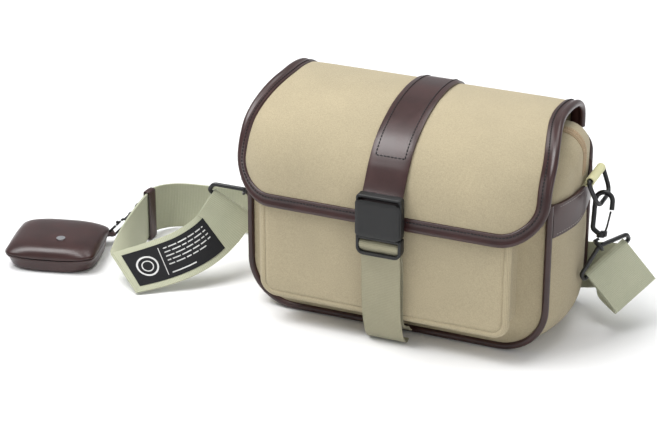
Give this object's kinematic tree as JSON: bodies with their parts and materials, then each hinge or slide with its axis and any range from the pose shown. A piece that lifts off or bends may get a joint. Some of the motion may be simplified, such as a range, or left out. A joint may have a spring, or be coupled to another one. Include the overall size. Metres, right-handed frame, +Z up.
{
  "type": "camera bag",
  "caption": "Small canvas camera shoulder bag with leather-edged flap over a zip top, magnetic front closure, webbing strap on snap hooks and a clip-on leather pouch.",
  "frame": {"origin": "centre of the flat base on the ground", "axes": "+Z up, -Y the front with the flap and closure, +X to the right seen from the front"},
  "size_m": [0.6082, 0.185, 0.2096],
  "materials": {
    "canvas": "fine plain-weave polyester canvas, khaki beige",
    "leather": "glossy dark brown coated leather",
    "lining": "brushed nylon lining",
    "foam": "closed-cell foam",
    "divider_cloth": "padded loop-pile cloth",
    "zip_coil": "woven zip tape with nylon coil",
    "webbing": "ribbed sage green-grey webbing",
    "loop_webbing": "pale yellow-green webbing",
    "black_plastic": "satin moulded black",
    "magnet": "nickel plated",
    "black_metal": "black electroplate, semi gloss",
    "label_cloth": "black printed rubberised cloth",
    "snap_metal": "polished"
  },
  "bodies": {
    "bag": {"gusset_left": "canvas", "gusset_right": "canvas", "base_panel": "canvas", "front_panel": "canvas", "back_panel": "canvas", "top_facings": "canvas", "pocket_face": "canvas", "pocket_gusset": "canvas", "flap_hem": "canvas", "piping": "leather", "strap_anchor": "leather", "side_tabs": "leather", "strap_keeper": "leather", "lining": "lining", "foam_front": "foam", "foam_back": "foam", "foam_base": "foam", "foam_sides": "foam", "zip_ends": "zip_coil", "webbing_foot": "webbing", "strap_left_end": "webbing", "strap_main": "webbing", "ring_loops": "loop_webbing", "strap_label": "label_cloth"},
    "lid_front": {"zip_lid_front": "canvas", "zip_coil_front": "zip_coil"},
    "lid_rear": {"zip_lid_rear": "canvas", "zip_coil_rear": "zip_coil"},
    "slider": {"zip_slider": "black_metal"},
    "pull": {"zip_pull": "black_metal"},
    "flap": {"flap_panel": "canvas", "flap_lining": "lining", "flap_binding": "leather", "closure_strap": "leather"},
    "tail": {"closure_tail": "leather", "buckle_upper": "black_plastic", "magnet_upper": "magnet"},
    "front_web": {"closure_webbing": "webbing", "buckle_lower": "black_plastic", "magnet_lower": "magnet"},
    "divider_a": {"divider_left": "divider_cloth"},
    "divider_b": {"divider_right": "divider_cloth"},
    "ring_right": {"d_ring_right": "black_metal"},
    "ring_left": {"d_ring_left": "black_metal"},
    "loop_right": {"strap_loop_right": "black_metal"},
    "loop_left": {"strap_loop_left": "black_metal"},
    "eye_right": {"swivel_eye_right": "black_metal"},
    "eye_left": {"swivel_eye_left": "black_metal"},
    "hook_right": {"snap_hook_right": "black_metal"},
    "hook_left": {"snap_hook_left": "black_metal"},
    "gate_wire_right": {"gate_right": "black_metal"},
    "gate_wire_left": {"gate_left": "black_metal"},
    "keeper_link": {"keeper_ring": "black_metal"},
    "link": {"chain_link": "black_metal"},
    "clip": {"pouch_clip": "black_metal"},
    "trigger": {"clip_trigger": "black_metal"},
    "pouch": {"pouch_base": "leather", "pouch_tab": "leather"},
    "pouch_cover": {"pouch_lid": "leather", "pouch_stud": "snap_metal"}
  },
  "joints": [
    {"name": "flap_hinge", "type": "hinge", "parent": "bag", "child": "flap", "pos_m": [0, 0.066, 0.18], "axis": [-1, 0, 0], "range_deg": [0, 180]},
    {"name": "tail_lift", "type": "hinge", "parent": "flap", "child": "tail", "pos_m": [0.003, -0.08161, 0.17285], "axis": [-1, 0, 0], "range_deg": [0, 60]},
    {"name": "front_web_swing", "type": "hinge", "parent": "bag", "child": "front_web", "pos_m": [0.003, -0.0893, 0.014], "axis": [1, 0, 0], "range_deg": [0, 45]},
    {"name": "lid_front_fold", "type": "hinge", "parent": "bag", "child": "lid_front", "pos_m": [0, -0.043, 0.16], "axis": [-1, 0, 0], "range_deg": [0, 110]},
    {"name": "lid_rear_fold", "type": "hinge", "parent": "bag", "child": "lid_rear", "pos_m": [0, 0.0485, 0.1752], "axis": [1, 0, 0], "range_deg": [0, 100]},
    {"name": "zip_run", "type": "slide", "parent": "bag", "child": "slider", "axis": [1, 0, 0], "range_m": [-0.225, 0]},
    {"name": "pull_tip", "type": "hinge", "parent": "slider", "child": "pull", "pos_m": [0.1165, 0.0035, 0.19707], "axis": [0, 1, 0], "range_deg": [0, 20]},
    {"name": "divider_a_shift", "type": "slide", "parent": "bag", "child": "divider_a", "axis": [1, 0, 0], "range_m": [-0.028, 0.028]},
    {"name": "divider_b_shift", "type": "slide", "parent": "bag", "child": "divider_b", "axis": [1, 0, 0], "range_m": [-0.028, 0.028]},
    {"name": "d_ring_swing_right", "type": "hinge", "parent": "bag", "child": "ring_right", "pos_m": [0.1584, 0.0165, 0.149], "axis": [0, 1, 0], "range_deg": [-2, 2]},
    {"name": "loop_swing_right", "type": "hinge", "parent": "bag", "child": "loop_right", "pos_m": [0.172, 0.019, 0.068], "axis": [0.5604, 0.6005, 0.5704], "range_deg": [-2, 2]},
    {"name": "eye_swing_right", "type": "hinge", "parent": "loop_right", "child": "eye_right", "pos_m": [0.16896, 0.00414, 0.08663], "axis": [0.5604, 0.6005, 0.5704], "range_deg": [-2, 2]},
    {"name": "hook_swivel_right", "type": "hinge", "parent": "eye_right", "child": "hook_right", "pos_m": [0.16896, 0.00414, 0.08663], "axis": [-0.0374, 0.2943, 0.955], "range_deg": [-6, 6]},
    {"name": "gate_press_right", "type": "hinge", "parent": "hook_right", "child": "gate_wire_right", "pos_m": [0.17189, 0.00783, 0.09859], "axis": [0, 0.9557, -0.2945], "range_deg": [-15, 0], "stiffness_Nm_per_rad": 0.004, "springref_deg": 5.73},
    {"name": "d_ring_swing_left", "type": "hinge", "parent": "bag", "child": "ring_left", "pos_m": [-0.1584, 0.008, 0.149], "axis": [0, 1, 0], "range_deg": [-2, 2]},
    {"name": "loop_swing_left", "type": "hinge", "parent": "bag", "child": "loop_left", "pos_m": [-0.183, -0.004, 0.066], "axis": [0.7816, 0.2505, -0.5712], "range_deg": [-2, 2]},
    {"name": "eye_swing_left", "type": "hinge", "parent": "loop_left", "child": "eye_left", "pos_m": [-0.16851, -0.00566, 0.0851], "axis": [0.7816, 0.2505, -0.5712], "range_deg": [-2, 2]},
    {"name": "hook_swivel_left", "type": "hinge", "parent": "eye_left", "child": "hook_left", "pos_m": [-0.16851, -0.00566, 0.0851], "axis": [0.0256, 0.3115, 0.9499], "range_deg": [-6, 6]},
    {"name": "gate_press_left", "type": "hinge", "parent": "hook_left", "child": "gate_wire_left", "pos_m": [-0.17159, -0.00177, 0.09696], "axis": [0, -0.9502, 0.3116], "range_deg": [-15, 0], "stiffness_Nm_per_rad": 0.004, "springref_deg": 5.73},
    {"name": "keeper_ring_swing", "type": "hinge", "parent": "bag", "child": "keeper_link", "pos_m": [-0.2913, 0.02975, 0.03791], "axis": [0, 0, 1], "range_deg": [-4, 4]},
    {"name": "chain_link_swing", "type": "hinge", "parent": "keeper_link", "child": "link", "pos_m": [-0.29515, 0.02574, 0.03366], "axis": [0, 0, 1], "range_deg": [-4, 4]},
    {"name": "clip_swing", "type": "hinge", "parent": "link", "child": "clip", "pos_m": [-0.29818, 0.02259, 0.03032], "axis": [0, 0, 1], "range_deg": [-4, 4]},
    {"name": "trigger_press", "type": "hinge", "parent": "clip", "child": "trigger", "pos_m": [-0.31372, 0.0064, 0.0172], "axis": [-0.7214, 0.6925, 0], "range_deg": [0, 15], "stiffness_Nm_per_rad": 0.004, "springref_deg": -5.73},
    {"name": "pouch_swing", "type": "hinge", "parent": "clip", "child": "pouch", "pos_m": [-0.3165, 0.0035, 0.0101], "axis": [0, 0, 1], "range_deg": [-5, 5]},
    {"name": "pouch_lid_fold", "type": "hinge", "parent": "pouch", "child": "pouch_cover", "pos_m": [-0.35885, -0.00849, 0.015], "axis": [-0.9703, -0.2419, 0], "range_deg": [0, 80]}
  ]
}
